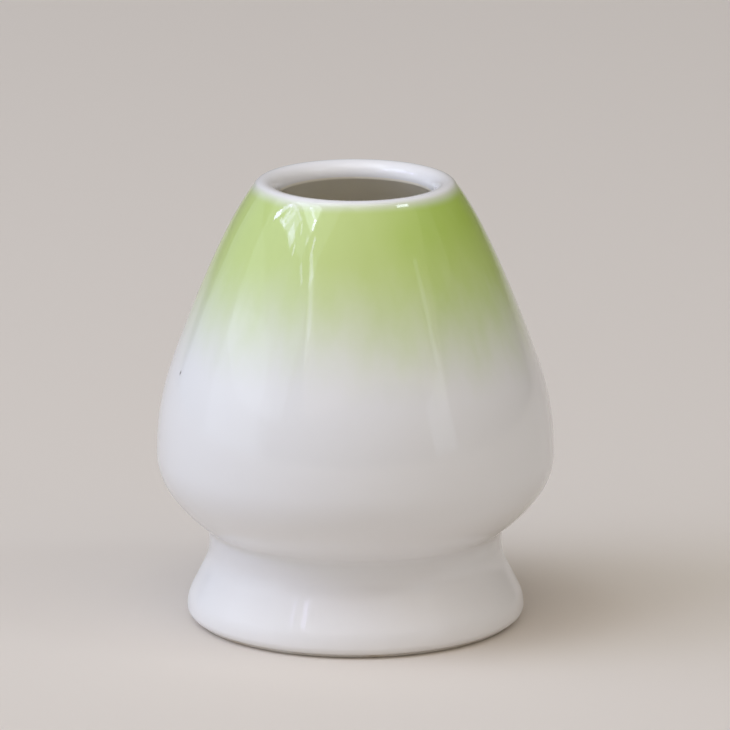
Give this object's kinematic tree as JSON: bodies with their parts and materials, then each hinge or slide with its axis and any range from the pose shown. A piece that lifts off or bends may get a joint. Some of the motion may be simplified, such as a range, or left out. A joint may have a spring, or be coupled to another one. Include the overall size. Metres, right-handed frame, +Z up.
{
  "type": "tea whisk holder",
  "caption": "Glazed porcelain stand for drying a bamboo tea whisk: a hollow bulb with an open mouth on a flared foot, green above and white below.",
  "frame": {"origin": "on the vertical axis, on the plane that the foot's ring stands on", "axes": "+Z up along the axis of revolution, out of the mouth; +X to the right and +Y to the back as the pictured side is faced"},
  "size_m": [0.064, 0.064, 0.072],
  "materials": {
    "biscuit": "matte",
    "luting": "matte",
    "white_glaze": "gloss",
    "green_glaze": "gloss",
    "lining_glaze": "gloss"
  },
  "bodies": {
    "root": {"body_shell": "biscuit", "flared_foot": "biscuit", "luting_slip": "luting", "rim_glaze": "white_glaze", "green_glaze": "green_glaze", "white_glaze": "white_glaze", "lining_glaze": "lining_glaze", "recess_glaze": "lining_glaze"}
  },
  "joints": []
}
